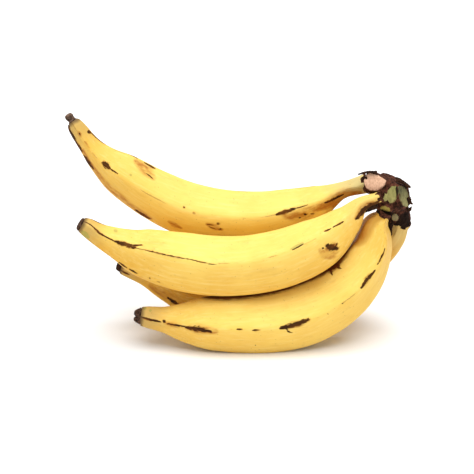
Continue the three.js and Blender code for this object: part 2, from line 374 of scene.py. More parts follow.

# %% [markdown]
# Dark marks tell these four fruits from any others: dried streaks along the ridges, a wound
# near the neck of the middle one, orange bruises on the top one, and brown stains on the shaded
# sides of the necks, partly real stain and partly painted shade. They could be painted on a picture,
# but that would tie them to one size of picture.
# Each is a short line over the skin instead, given by millimetres from the neck and degrees round
# from the front ridge, with half its width first.

# %% Marks on the skin
# The brown stains are partly real stain and partly painted shade on the shaded sides of the necks.
DARK, RUST, GREEN, STAIN_AND_SHADE = "dark_mark", "rust_mark", "green_mark", "brown_stain_and_painted_shade"
MARKS = {
    "top": {
        DARK: [
            (2.4, [(223, 4), (217.5, 2)]), (0.6, [(217, 2), (209, 3)]), (0.5, [(253, 4), (251, 3)]),
            (3.0, [(262, -64), (251, -67), (241, -62)]), (2.2, [(236, -62), (226, -58)]),
            (1.4, [(249, 60)]), (0.7, [(249, 66), (240, 72), (232, 76)]),
            (0.9, [(213, 80), (203, 70)]), (1.1, [(196, 68), (186, 67)]),
            (0.6, [(190, 44), (184, 40)]), (1.7, [(182, -66), (170, -66)]),
            (0.7, [(150.2, 6)]), (0.6, [(140.7, 0)]),
            (1.1, [(119.8, -16)]), (0.45, [(129, -20), (123, -22)]),
            (0.7, [(118.5, -34), (116.5, -28)]), (0.35, [(126, -28), (121, -33)]),
            (1.4, [(71, 0), (63, 2), (55, 4)]), (0.5, [(56, 4), (44, 4)]),
            (1.0, [(49.5, -20), (48.5, -26)]), (0.7, [(54, -28)]), (0.6, [(45, -30), (43, -36)]),
            (1.2, [(31, -14), (23, -26), (16, -32)]),
        ],
        RUST: [
            (3.6, [(202, 60), (191, 50), (184, 42)]), (2.2, [(156, -44), (147, -50)]),
            (5.5, [(63, -6), (52, -22), (42, -20)]), (5.0, [(36, -20), (20, -38), (3, -42)]),
            (5.0, [(32, -60), (3, -70)]), (2.6, [(128, -20), (117, -32)]),
            (3.0, [(240, -50), (200, -60), (170, -62)]), (1.2, [(254, 4), (250, 2)]),
            (0.7, [(245, 4), (239, 3)]),
        ],
        GREEN: [(0.9, [(200.5, 18)])],
        STAIN_AND_SHADE: [(3.4, [(38, -28), (22, -44), (4, -52)]), (2.0, [(57, -18), (48, -24)])],
    },
    "middle": {
        DARK: [
            (0.7, [(253.5, 20), (248, 15), (239, 2), (232, 0), (225, -1)]),
            (1.7, [(225, -1), (217, 3), (209, 2)]), (0.9, [(215, 5), (204, 13)]),
            (0.4, [(209, 2), (189, 2), (163, 2), (139, -3)]), (0.7, [(194.6, 2)]),
            (0.9, [(216, -67), (209, -64)]), (0.8, [(207, -63), (201, -64)]),
            (0.6, [(191, -62)]), (0.6, [(184, -63)]), (0.5, [(78, -1), (67, 1)]),
            (0.7, [(46, 6), (40.2, 3)]), (0.7, [(39, 3), (34, -1), (30, -4)]),
            (2.8, [(51.5, -27), (50, -36), (47.5, -48)]), (0.8, [(55, -26)]), (0.8, [(45.3, -40)]),
            (0.9, [(253.5, 76), (248, 65), (238, 67)]),
            (2.2, [(22, -38), (16, -52), (11, -60), (0, -66)]),
        ],
        RUST: [
            (4.4, [(52, -32), (50, -50)]), (2.2, [(57.5, -26), (57, -42), (53, -60)]),
            (0.9, [(56.1, -28), (56, -48), (52, -63)]), (2.4, [(22, -34), (14, -42), (4, -46)]),
        ],
        GREEN: [(1.3, [(227.9, 46)]), (2.0, [(251, -54), (245, -56)]), (0.9, [(78, 2), (67, 4)])],
    },
    "front": {
        DARK: [
            (0.9, [(236, 10), (229, 4), (220, 2)]), (1.3, [(217.8, 6)]),
            (0.8, [(215, 0), (201, 0)]), (2.1, [(200, -2), (190, -3), (181, -7)]),
            (0.7, [(161.3, 1), (157, 1)]), (0.7, [(150.1, -1), (144, -1)]),
            (2.0, [(127.7, -2), (117, 0), (104.8, 3)]),
            (0.7, [(122.8, -6), (122.1, -12), (119, -16)]),
            (0.6, [(35, 3), (28, 2), (22, 0)]), (1.4, [(56, 0), (48, 4), (40, 1)]),
            (3.4, [(69, 92), (61.6, 81), (54, 76)]), (1.1, [(63, 80), (66, 64)]),
            (1.1, [(57, 76), (54.5, 65)]), (0.6, [(74.7, 0)]), (0.6, [(88.8, -3)]),
            (0.6, [(146.9, -43)]),
        ],
        RUST: [
            (1.6, [(217, 0), (201, 0)]), (3.6, [(198, -3), (178, -6)]), (1.0, [(120.7, -4)]),
            (3.0, [(4, 84), (16, 90), (26, 100)]),
        ],
        GREEN: [(0.9, [(234, 72)]), (0.9, [(229.8, 58)])],
        STAIN_AND_SHADE: [(8.5, [(-4, 90), (8, 92), (15, 100), (30, 112), (58, 118)])],
    },
    "back": {
        DARK: [(1.9, [(222, -46), (213, -48)]), (1.0, [(267, -30), (259, -36)])],
        RUST: [(4.0, [(238, -40), (198, -40)]), (3.0, [(12, 20), (30, 30)])],
        GREEN: [(2.5, [(20, 0), (45, -10)])],
    },
}
print("marks", {name: sum(len(m) for m in kinds.values()) for name, kinds in MARKS.items()})

# %% [markdown]
# How near a vertex is to a mark's line is stored on the mesh, and the skin's material turns that
# into torn-edged colour. Stored the same way: how ripe the fruit is from neck to flower end, how
# tan its neck, how much painted shade its low side gets, and how near it is to a ridge.

# %% What the skin stores
RIDGE_LINE_REACH = 2.4
RIPENESS_AT = [60, 170]
# The back fruit's high ripeness is partly its browner skin and partly painted shade for the shadow
# it lies in behind the others.
RIPENESS = {"top": (0.02, 0.18), "middle": (0.1, 0.08), "front": (0.16, 0.06), "back": (0.85, 0.85)}
NECK_TAN = {"top": 0.95, "middle": 0.3, "front": 0.0, "back": 0.6}
# Painted shade: how much the low side of each fruit is turned darker and more golden.
PAINTED_SHADE_LOW_SIDE = {"top": 0.14, "middle": 0.55, "front": 0.22, "back": 0.3}
TAPER = 0.45


def nearness(run, round_mm, degree_mm, marks):
    """1 on a mark's middle line, a half at its edge, 0 at twice its half-width; ends taper."""
    best = np.zeros(len(run))
    for half_width, points in marks:
        taper = TAPER if len(points) > 1 else 0.0
        points = points if len(points) > 1 else points * 2
        for step, ((a0, d0), (a1, d1)) in enumerate(zip(points, points[1:])):
            start = np.stack([np.full(len(run), float(a0)), d0 * degree_mm], -1)
            span = np.stack([np.full(len(run), float(a1 - a0)), (d1 - d0) * degree_mm], -1)
            away = np.stack([run, round_mm], -1) - start
            share = np.clip((away * span).sum(1) / np.maximum((span * span).sum(1), 1e-9), 0, 1)
            distance = np.linalg.norm(away - share[:, None] * span, axis=1)
            whole = (step + share) / (len(points) - 1)
            width = half_width * (1 - taper + taper * np.sin(math.pi * whole))
            best = np.maximum(best, 1 - distance / (2 * width))
    return np.clip(best, 0, 1)


def note_skin(body, name, shift):
    """Stores where each vertex grew on the straight fruit, its ridge, its marks and its share."""
    straight = places_of(body)
    keep_value(body, "grown", straight + np.array([shift, 0, 0]), "FLOAT_VECTOR")
    run = straight[:, 0]
    degrees = np.degrees(np.arctan2(straight[:, 2], straight[:, 1]))
    half = along_line(name, run)[:, 4]
    degree_mm = half * math.pi / 180
    for kind, marks in MARKS[name].items():
        best = np.zeros(len(run))
        for turned in (-360, 0, 360):
            best = np.maximum(best, nearness(run, (degrees + turned) * degree_mm, degree_mm, marks))
        keep_value(body, kind, best)
    off_ridge = np.min(
        [np.abs((degrees - ridge + 180) % 360 - 180) for ridge in RIDGES[name]], axis=0
    )
    keep_value(body, "ridge_line", np.clip(1 - off_ridge * degree_mm / RIDGE_LINE_REACH, 0, 1))
    keep_value(body, "ripeness", np.interp(run, RIPENESS_AT, RIPENESS[name]))
    keep_value(body, "neck_tan", np.full(len(run), NECK_TAN[name]))
    # painted shade on the low side, strongest where the skin faces down
    up_turn = np.radians(degrees) + np.radians(along_line(name, run)[:, 5])
    keep_value(body, "painted_shade_low_side", PAINTED_SHADE_LOW_SIDE[name] * np.clip(0.15 - np.sin(up_turn), 0, 1))
    keep_value(body, "from_neck", run)
    keep_value(body, "from_tip", LINES[name][-1, 0] - run)


print("stored for", sorted(RIPENESS))

# %% [markdown]
# With section and marks ready, each fruit is extruded straight, rounded, given the faint
# unevenness of a real skin, and only then bent. A Curve modifier would bend it too, but it rolls
# the ridges round the line, so each vertex is carried to its place instead.

# %% The four fruits
RINGS_PER_ROW = 6
SLEEVE = {"top": 4.0, "middle": 3.5, "front": 2.0, "back": 4.5}
fruit_pieces = {}
for number, name in enumerate(FRUITS):
    table = LINES[name]
    places = table[::STEPS_PER_ROW // RINGS_PER_ROW]
    rings = [(-SLEEVE[name], places[0][4] * 1.02), (-SLEEVE[name] / 2, places[0][4] * 1.04)]
    rings += [(row[0], row[4]) for row in places]
    body = straight_loft("skin_of_" + name, ridged_section(RIDGES[name]), rings)
    smooth_over(body, 2)
    roughen(body, 26, 0.7, 3)
    note_skin(body, name, 400 * number)
    bend_onto_line(body, name)
    fruit_pieces[name] = body
    print(body.name, len(body.data.polygons), "faces")

# %% [markdown]
# Where two fruits of a hand lie against each other, a thin dark brown line of painted contact
# shadow runs along the skin. The distance from each vertex to the nearest other fruit is stored as
# how much painted shadow it gets. The necks lie close too but get none, so the line fades out
# towards them.

# %% Painted contact shadow between the fruits
CONTACT_SHADOW_REACH = 6.0
NECK_WITHOUT_CONTACT_SHADOW = 14
CONTACT_SHADOW_FADE = 18


def gap_to(spots, name):
    """Millimetres from each place to a fruit's skin, reckoned from its centre line and section."""
    line = LINES[name][::8]
    steps = spots[:, None] - line[None, :, 1:4]
    away = np.linalg.norm(steps, axis=2)
    nearest = (away - line[:, 4]).argmin(1)
    step = steps[np.arange(len(spots)), nearest]
    at = line[nearest]
    angle = np.arctan2((step * at[:, 12:15]).sum(1), (step * at[:, 9:12]).sum(1))
    angles, reaches = np.array(ridged_section(RIDGES[name])).T
    reach = np.interp(angle - np.radians(at[:, 5]), angles, reaches, period=math.tau)
    return away[np.arange(len(spots)), nearest] - at[:, 4] * reach


# painted contact shadow: stored for each vertex from its gap to the other fruits
for name, body in fruit_pieces.items():
    spots = places_of(body) * 1000
    gap = np.min([gap_to(spots, other) for other in FRUITS if other != name], axis=0)
    past_neck = (LINES[name][0, 1] - NECK_WITHOUT_CONTACT_SHADOW - spots[:, 0]) / CONTACT_SHADOW_FADE
    keep_value(body, "painted_contact_shadow", np.clip(1 - gap / CONTACT_SHADOW_REACH, 0, 1) * np.clip(past_neck, 0, 1))
    print(name, "comes within", round(gap.min(), 2), "mm of another fruit")

# %% [markdown]
# Where the flower dropped off, a dark dry end is left: a knob on a waist on the top fruit, a
# blunt scar on the middle one, two lobes on the front one. Each is a small loft of its own that
# runs on from the fruit's centre line, wrinkled afterwards.

# %% Dried flower ends
FLOWER_ENDS = {
    "top": [(-1.6, 3.9), (0.4, 3.8), (1.3, 3.0), (2.6, 2.9), (4.2, 3.6), (6.0, 3.4), (7.2, 2.1)],
    "middle": [(-0.8, 5.6), (0.4, 5.6), (1.0, 4.9), (1.6, 4.3), (2.0, 2.9)],
    "front": [(-0.8, 6.8), (0.7, 6.7), (1.6, 5.9), (3.0, 5.4), (4.6, 4.7), (5.6, 2.9)],
    "back": [(-0.8, 4.4), (0.7, 4.3), (1.6, 3.7), (3.0, 3.5), (4.1, 2.2)],
}
GROOVE_START, GROOVE_RISE, GROOVE_WIDTH, GROOVE_DEPTH = 1.5, 3, 1.1, 2.4
GROOVE_PLACE, GROOVE_PINCH = -0.5, 0.45


def round_section(count):
    """A plain round ring of corners."""
    return [(math.tau * step / count, 1.0) for step in range(count)]


flower_ends = {}
for name, rings in FLOWER_ENDS.items():
    length = LINES[name][-1, 0]
    body = straight_loft(
        "flower_end_" + name, round_section(28), [(length + run, radius) for run, radius in rings]
    )
    smooth_over(body, 2)
    straight = places_of(body)
    if name == "front":
        groove = np.clip((straight[:, 0] - length - GROOVE_START) / GROOVE_RISE, 0, 1)
        groove = groove * np.exp(-((straight[:, 2] - GROOVE_PLACE) / GROOVE_WIDTH) ** 2)
        straight[:, 1] *= 1 - GROOVE_PINCH * groove
        straight[:, 0] -= GROOVE_DEPTH * groove
        set_places(body, straight)
    roughen(body, 2.2, 0.9, 3)
    keep_value(body, "grown", places_of(body), "FLOAT_VECTOR")
    bend_onto_line(body, name)
    flower_ends[name] = body
    print(body.name, len(body.data.polygons), "faces")

# %% [markdown]
# The crown is the woody cushion that held the hand to the stem. It could be sculpted, but a pile
# of primitives in the places of the CAD lumps and stumps keeps to the CAD: melted together by a
# voxel remesh, made lumpy, and then sliced with flat cuts as the knife did.

# %% Crown cushion
LUMPS = [
    ((122, 23.5, 128), (17, 17, 16.5)), ((108.2, 15.5, 139.4), (9.8, 9.2, 8.6)),
    ((104, 20.5, 133), (5, 6.5, 5)),
]
COARSE_VOXEL = 0.7


def melt(body, voxel):
    """Turns a pile of closed shapes into one even skin."""
    pick(body)
    remesh = body.modifiers.new("melt", "REMESH")
    remesh.mode = "VOXEL"
    remesh.voxel_size = voxel
    bpy.ops.object.modifier_apply(modifier="melt")


def relax(body, rounds):
    """Evens out a body's small steps."""
    ease = body.modifiers.new("ease", "SMOOTH")
    ease.factor = 0.5
    ease.iterations = rounds
    bpy.ops.object.modifier_apply(modifier="ease")


def join_all(parts):
    """Joins objects into the first of them and settles its placement."""
    bpy.ops.object.select_all(action="DESELECT")
    for part in parts:
        part.select_set(True)
    bpy.context.view_layer.objects.active = parts[0]
    bpy.ops.object.join()
    bpy.ops.object.transform_apply(location=True, rotation=True, scale=True)
    return parts[0]


cushions = []
for centre, half in LUMPS:
    bpy.ops.mesh.primitive_uv_sphere_add(segments=48, ring_count=32, radius=1)
    lump = bpy.context.object
    lump.scale = Vector(half)
    lump.location = Vector(centre) + MOVE
    cushions.append(lump)
crown = join_all(cushions)
crown.name = "crown_cushion"
melt(crown, COARSE_VOXEL)
relax(crown, 4)
roughen(crown, 7, 1.6, 2)
print("cushion", len(crown.data.polygons), "faces")

# %% [markdown]
# The knife left flat faces: a large pinkish tan one where a fruit was cut away beside the top
# neck, two green ones in front, one above, one at the right and one below. Bisect with fill
# slices each of them in one step, as the knife did.

# %% Knife cuts
CUTS = {
    "pink": ((107.3, 12.4, 140.9), (-0.3, -0.8, 0.5)),
    "green_left": ((121, 7.5, 130), (0.25, -0.95, 0.1)),
    "green_right": ((129.5, 11.5, 127), (0.8, -0.55, 0.25)),
    "upper": ((107, 22, 145.9), (0.43, 0, 0.9)),
    "right": ((136.5, 22, 120), (1, 0.1, 0.15)),
    "under": ((116, 15, 114.6), (0, 0, -1)),
}


def slice_off(body, point, normal):
    """Cuts away what stands past a plane and closes the cut with one flat face."""
    pick(body)
    bpy.ops.object.mode_set(mode="EDIT")
    bpy.ops.mesh.select_all(action="SELECT")
    bpy.ops.mesh.bisect(plane_co=point, plane_no=normal, use_fill=True, clear_outer=True)
    bpy.ops.object.mode_set(mode="OBJECT")


for point, normal in CUTS.values():
    slice_off(crown, Vector(point) + MOVE, Vector(normal).normalized())
print("sliced", len(crown.data.polygons), "faces")

# %% [markdown]
# Stumps lead from the cushion to the four necks, and one small stub is left of a stalk that was
# cut off level. They join the sliced cushion, a second remesh rounds every rim and seam a little,
# and fine lumps go over everything.

# %% Stumps and stub
ROOTS = {
    "top": ((112, 25, 132), 8.0), "middle": ((118, 18, 126), 8.0),
    "front": ((118, 18, 123), 8.5), "back": ((125, 27, 118), 10.0),
}
STUB = ((126, 27, 105.5), (124.5, 17.6, 109), 3.3, 2.9)
COLLAR_START, COLLAR_END, CONE_START = 0.2, 4.6, 3.6
FINE_VOXEL = 0.45


def lay_along(start, end):
    """Middle, length and turn that lay a Z-long primitive from start to end."""
    span = Vector(end) - Vector(start)
    return (Vector(start) + Vector(end)) / 2, span.length, span.to_track_quat("Z", "Y").to_euler()


stumps = [crown]
cones = []
for name, (root, root_radius) in ROOTS.items():
    row = LINES[name][0]
    neck, forward, radius = Vector(row[1:4]), Vector(row[6:9]), row[4]
    collar = neck - forward * COLLAR_START, neck - forward * COLLAR_END
    cones.append((*collar, radius * 0.98, radius * 1.04))
    cones.append((neck - forward * CONE_START, Vector(root) + MOVE, radius * 1.03, root_radius))
cones.append((Vector(STUB[0]) + MOVE, Vector(STUB[1]) + MOVE, STUB[2], STUB[3]))
for start, end, thick, thin in cones:
    middle, length, turn = lay_along(start, end)
    bpy.ops.mesh.primitive_cone_add(
        vertices=40, radius1=thick, radius2=thin, depth=length, location=middle, rotation=turn
    )
    stumps.append(bpy.context.object)
crown = join_all(stumps)
melt(crown, FINE_VOXEL)
relax(crown, 3)
roughen(crown, 4, 0.7, 2)
roughen(crown, 1.5, 0.45, 2)
bpy.ops.object.shade_smooth()
print("crown", len(crown.data.polygons), "faces")

# %% [markdown]
# Each cut face shows flesh only over part of its plane, where the surface is level with the cut;
# the rest has dried brown. Some places are nearly black: the collar over the back neck, the rim
# above the front neck, the seam between the two green faces. All of them are stored on the mesh
# as how near a point is to a short line.

# %% Flesh and dark places on the crown
FLESH = {
    "pink": ((102.6, 12.1, 138.0), (109, 13, 142.6), 7.6),
    "green_left": ((117.6, 8, 140.5), (118, 8, 130), 5.4),
    "green_right": ((127.8, 11, 137.5), (133.6, 14, 121.5), 6.2),
    "stub": ((124.5, 17.6, 109), (124.6, 17.7, 109), 2.9),
}
FLESH_DEPTH = 2.2
LEVEL_FROM, LEVEL_SPAN = 0.5, 0.25
OLIVE = ((109.5, 6, 122), (116.5, 7, 118.8), 2.1)
SOOT = [
    ((123.2, 8.5, 141.5), (123.8, 9, 121), 0.8), ((131.5, 24, 107), (132, 27, 101), 5.6),
    ((108, 8, 116.4), (120, 9, 115), 2.0), ((122, 21, 105), (123, 22, 96), 3.0),
    ((124, 14, 144), (137, 18, 132), 2.6), ((136, 15, 125), (136.5, 17, 116), 2.2),
    ((98, 14, 146), (112, 15, 146.5), 1.2),
]


def line_nearness(spots, start, end, reach):
    """1 on the line, a half at its reach and 0 at twice that."""
    start, end = np.array(Vector(start) + MOVE), np.array(Vector(end) + MOVE)
    span = end - start
    share = np.clip((spots - start) @ span / (span @ span), 0, 1)
    distance = np.linalg.norm(spots - start - share[:, None] * span, axis=1)
    return np.clip(1 - distance / (2 * reach), 0, 1)


spots = places_of(crown)
normals = np.zeros(len(spots) * 3)
crown.data.vertices.foreach_get("normal", normals)
normals = normals.reshape(-1, 3)
planes = {**CUTS, "stub": (STUB[1], Vector(STUB[1]) - Vector(STUB[0]))}
for name, (start, end, reach) in FLESH.items():
    point, normal = planes[name]
    normal = np.array(Vector(normal).normalized())
    depth = np.abs((spots - np.array(Vector(point) + MOVE)) @ normal)
    level = np.clip((normals @ normal - LEVEL_FROM) / LEVEL_SPAN, 0, 1)
    near = line_nearness(spots, start, end, reach)
    keep_value(crown, "flesh_" + name, near * np.clip(FLESH_DEPTH - depth, 0, 1) * level)
keep_value(crown, "olive", line_nearness(spots, *OLIVE))
keep_value(crown, "soot", np.max([line_nearness(spots, *line) for line in SOOT], axis=0))
keep_value(crown, "grown", spots, "FLOAT_VECTOR")
set_places(crown, spots / 1000)
print("crown", len(crown.data.polygons), "faces,", len(SOOT), "dark places")

# %% [markdown]
# Where the knife went through the skin, thin dry strips of it stand off, black and pointed. Each
# is a plane, subdivided, narrowed towards its tip, curled, thickened and wrinkled.

# %% Torn strips of dry skin
UPWARDS, OUTWARDS = (0, -0.35, 1), (0, -1, 0.3)
NARROWING, SWAY, ARCH, CURL = 0.85, 0.12, 0.07, 0.25
STRIPS = [
    ("crest", (113, 15.5, 146.5), (94, 17.5, 144.6), 3.6, 1.3, UPWARDS),
    ("hook", (101, 15.5, 142.5), (96.3, 19, 140.8), 2.6, 1.0, OUTWARDS),
    ("tooth", (124, 17, 141), (136.3, 21, 132.3), 6.0, 1.4, UPWARDS),
    ("edge", (133, 15.5, 126), (137.4, 15.5, 120.5), 4.0, 1.4, OUTWARDS),
    ("foot", (132.5, 19, 114.5), (137.6, 19, 117), 5.0, 1.4, OUTWARDS),
    ("middle_neck", (112, 7.5, 126.5), (91, 5.5, 113), 6.0, 2.0, OUTWARDS),
    ("between_necks", (121.3, 22, 114), (122.5, 23.5, 92), 7.0, 3.0, OUTWARDS),
]


def torn_strip(name, root, tip, width, thickness, facing):
    """A pointed strip of dry skin from root to tip, curled a little across its length."""
    bpy.ops.object.select_all(action="DESELECT")
    bpy.ops.mesh.primitive_plane_add(size=1)
    strip = bpy.context.object
    strip.name = "torn_skin_" + name
    span = Vector(tip) - Vector(root)
    strip.scale = (span.length, width, 1)
    bpy.ops.object.transform_apply(location=True, rotation=True, scale=True)
    bpy.ops.object.mode_set(mode="EDIT")
    bpy.ops.mesh.subdivide(number_cuts=9)
    bpy.ops.object.mode_set(mode="OBJECT")
    flat = places_of(strip)
    share = flat[:, 0] / span.length + 0.5
    flat[:, 1] *= 1 - NARROWING * share ** 1.6
    flat[:, 1] += SWAY * width * np.sin(7 * share)
    flat[:, 2] += ARCH * span.length * np.sin(math.pi * share) - CURL * np.abs(flat[:, 1])
    set_places(strip, flat)
    thicken = strip.modifiers.new("thicken", "SOLIDIFY")
    thicken.thickness = thickness
    thicken.offset = 0
    bpy.ops.object.modifier_apply(modifier="thicken")
    smooth_over(strip, 2)
    roughen(strip, 1.4, 1.0, 2)
    keep_value(strip, "grown", places_of(strip), "FLOAT_VECTOR")
    along = span.normalized()
    side = Vector(facing).cross(along).normalized()
    axes = np.array([along, side, along.cross(side)])
    middle = np.array((Vector(root) + Vector(tip)) / 2 + MOVE)
    set_places(strip, (places_of(strip) @ axes + middle) / 1000)
    return strip


strips = [torn_strip(*strip) for strip in STRIPS]
print("strips", len(strips))

# %% [markdown]
# Colours and finishes come from shader nodes. A few small helpers keep the node code short:
# one adds a node and feeds its sockets, and the others use it for a ramp, a mix, a sum, noise.

# %% Node helpers


def put(tree, kind, feed, **settings):
    """Adds a node; feed gives each socket a number, a colour or another node's output."""
    made = tree.nodes.new(kind)
    for key, value in settings.items():
        setattr(made, key, value)
    for key, value in feed.items():
        if isinstance(value, bpy.types.NodeSocket):
            tree.links.new(value, made.inputs[key])
        else:
            made.inputs[key].default_value = value
    return made


def stretch(tree, value, low, high):
    """0 at low and before it, 1 at high and past it, with a smooth change between."""
    feed = {"Value": value, "From Min": low, "From Max": high}
    made = put(tree, "ShaderNodeMapRange", feed, interpolation_type="SMOOTHSTEP")
    return made.outputs["Result"]


def blend_colour(tree, share, first, second):
    """Mixes two colours, each a colour or an output."""
    first, second = [(*one, 1) if isinstance(one, tuple) else one for one in (first, second)]
    return put(tree, "ShaderNodeMix", {0: share, 6: first, 7: second}, data_type="RGBA").outputs[2]


def reckon(tree, how, first, second):
    """A Math node's result."""
    return put(tree, "ShaderNodeMath", {0: first, 1: second}, operation=how).outputs[0]


def times(tree, first, second):
    """A product."""
    return reckon(tree, "MULTIPLY", first, second)


def plus(tree, first, second):
    """A sum."""
    return reckon(tree, "ADD", first, second)


def cloud(tree, place, scale, detail=3.0, rough=0.55):
    """Soft noise from 0 to 1."""
    feed = {"Vector": place, "Scale": scale, "Detail": detail, "Roughness": rough}
    return put(tree, "ShaderNodeTexNoise", feed).outputs["Fac"]


print("helpers ready")

# %% [markdown]
# Two effects are shared, so each is made once, as a shader group. Torn edge takes how near a
# point is to a mark and frays its outline with noise, for dried streaks on skin and for dark rims
# on the crown. Dry tissue is the lumpy, patchy brown of everything woody: crown, torn skin and
# flower ends.

# %% Shared effects
FLOAT, VECTOR, COLOUR = "NodeSocketFloat", "NodeSocketVector", "NodeSocketColor"
EDGE_SOFTNESS = 0.09


def new_group(name, inputs, outputs):
    """An empty shader group; returns it with the sockets it is given and those it gives."""
    group = bpy.data.node_groups.new(name, "ShaderNodeTree")
    for side, sockets in (("INPUT", inputs), ("OUTPUT", outputs)):
        for socket, kind in sockets.items():
            group.interface.new_socket(name=socket, in_out=side, socket_type=kind)
    given, giving = group.nodes.new("NodeGroupInput"), group.nodes.new("NodeGroupOutput")
    return group, given.outputs, giving.inputs


def use_group(tree, group, feed):
    """One use of a shader group."""
    return put(tree, "ShaderNodeGroup", feed, node_tree=group)


torn_edge, given, giving = new_group(
    "torn_edge",
    {"Place": VECTOR, "Nearness": FLOAT, "Fray": FLOAT, "Scale": FLOAT, "Level": FLOAT},
    {"Mask": FLOAT},
)
frayed = cloud(torn_edge, given["Place"], given["Scale"], 3.0, 0.6)
frayed = reckon(torn_edge, "SUBTRACT", frayed, 0.5)
frayed = times(torn_edge, frayed, given["Fray"])
frayed = plus(torn_edge, frayed, given["Nearness"])
frayed = reckon(torn_edge, "SUBTRACT", frayed, given["Level"])
mask = stretch(torn_edge, frayed, -EDGE_SOFTNESS, EDGE_SOFTNESS)
torn_edge.links.new(mask, giving["Mask"])


def torn_mask(tree, place, near, fray, scale, level):
    """A mark's mask, from how near a place is to it, with the edge frayed by noise."""
    feed = {"Place": place, "Nearness": near, "Fray": fray, "Scale": scale, "Level": level}
    return use_group(tree, torn_edge, feed).outputs["Mask"]


dry_tissue, given, giving = new_group(
    "dry_tissue",
    {"Place": VECTOR, "Dark": COLOUR, "Light": COLOUR, "Scale": FLOAT},
    {"Color": COLOUR, "Height": FLOAT},
)
patches = cloud(dry_tissue, given["Place"], given["Scale"], 4.0, 0.6)
grain_scale = times(dry_tissue, given["Scale"], 5.0)
grain = cloud(dry_tissue, given["Place"], grain_scale, 3.0, 0.6)
both = plus(dry_tissue, times(dry_tissue, patches, 0.7), times(dry_tissue, grain, 0.3))
share = stretch(dry_tissue, both, 0.38, 0.64)
mixed = blend_colour(dry_tissue, share, given["Dark"], given["Light"])
dry_tissue.links.new(mixed, giving["Color"])
dry_tissue.links.new(both, giving["Height"])
print("groups", [group.name for group in bpy.data.node_groups])

# %% [markdown]
# The peel of a ripe plantain is waxy yellow: lemon over most of it and golden where it ripens
# first, at the neck and near the flower end; the low side is turned golden as painted shade. An even
# colour with noise would look painted, so everything is drawn in the straight, grown coordinates
# kept on the mesh, and the fine pale fibres and tan patches run along the fruit and bend with it.

# %% Peel: ripeness and fibres
LEMON, GOLD = (0.91, 0.655, 0.155), (0.72, 0.38, 0.045)
PALE_FIBRE, TAN_PATCH = (0.95, 0.77, 0.30), (0.62, 0.36, 0.06)
TIP_RIPENS, NECK_RIPENS = (110.0, 15.0), (60.0, 6.0)


def new_finish(name):
    """A new material with its node tree and its surface shader."""
    made = bpy.data.materials.new(name)
    made.use_nodes = True
    return made, made.node_tree, made.node_tree.nodes["Principled BSDF"]


def stored(tree, name, output="Fac"):
    """What the mesh stores under a name."""
    return put(tree, "ShaderNodeAttribute", {}, attribute_name=name).outputs[output]


def squeeze(tree, place, factors):
    """Scales a place along each axis, so noise stretches where the factor is small."""
    feed = {0: place, 1: factors}
    return put(tree, "ShaderNodeVectorMath", feed, operation="MULTIPLY").outputs[0]


peel, tree, shader = new_finish("ripe_peel")
grown = stored(tree, "grown", "Vector")
from_neck, from_tip = stored(tree, "from_neck"), stored(tree, "from_tip")
fibre_place = squeeze(tree, grown, (0.08, 1, 1))
streak_place = squeeze(tree, grown, (0.3, 1, 1))

broad = stretch(tree, cloud(tree, grown, 0.035, 3.0), 0.35, 0.7)
ripe = plus(tree, stored(tree, "ripeness"), times(tree, broad, 0.2))
# painted shade: the low side turns darker golden
ripe = plus(tree, ripe, stored(tree, "painted_shade_low_side"))
ripe = plus(tree, ripe, times(tree, stretch(tree, from_tip, *TIP_RIPENS), 0.3))
ripe = plus(tree, ripe, times(tree, stretch(tree, from_neck, *NECK_RIPENS), 0.25))
colour = blend_colour(tree, ripe, LEMON, GOLD)
fibres = cloud(tree, fibre_place, 0.55, 4.0, 0.65)
pale = times(tree, stretch(tree, fibres, 0.45, 0.75), 0.3)
colour = blend_colour(tree, pale, colour, PALE_FIBRE)
patch = cloud(tree, streak_place, 0.09, 4.0, 0.6)
tan_share = times(tree, stretch(tree, patch, 0.58, 0.78), 0.35)
colour = blend_colour(tree, tan_share, colour, TAN_PATCH)
print("peel nodes", len(tree.nodes))

# %% [markdown]
# Towards the neck the yellow turns a greyish tan, more on some fruits than on others, and towards
# the flower end brown. A straight border would look like a painted band, so its distance from
# the end wanders with the patches.

# %% Peel: neck and flower end
NECK_TAN_COLOUR, TIP_TAN_COLOUR = (0.62, 0.50, 0.21), (0.47, 0.31, 0.10)
RIM_COLOUR = (0.085, 0.045, 0.02)
NECK_FADE, TIP_FADE, RIM_FADE = (34.0, 4.0), (26.0, 2.0), (4.0, 0.6)
WANDER = 26.0

wander = times(tree, reckon(tree, "SUBTRACT", patch, 0.5), WANDER)
neck_fade = stretch(tree, plus(tree, from_neck, wander), *NECK_FADE)
neck_share = times(tree, neck_fade, stored(tree, "neck_tan"))
colour = blend_colour(tree, neck_share, colour, NECK_TAN_COLOUR)
tip_share = times(tree, stretch(tree, plus(tree, from_tip, wander), *TIP_FADE), 0.7)
colour = blend_colour(tree, tip_share, colour, TIP_TAN_COLOUR)
rim_place = plus(tree, from_tip, times(tree, wander, 0.12))
rim_share = times(tree, stretch(tree, rim_place, *RIM_FADE), 0.8)
print("peel nodes", len(tree.nodes))

# %% [markdown]
# Freckles are small round spots in some cells of a Voronoi pattern. Along the ridges the skin
# dries first, in thin broken brown lines, so the stored ridge line is frayed and broken by noise.

# %% Peel: freckles and ridge lines
FRECKLE_COLOUR, RIDGE_COLOUR = (0.30, 0.17, 0.04), (0.33, 0.17, 0.04)
BARE_SHARE = 0.62

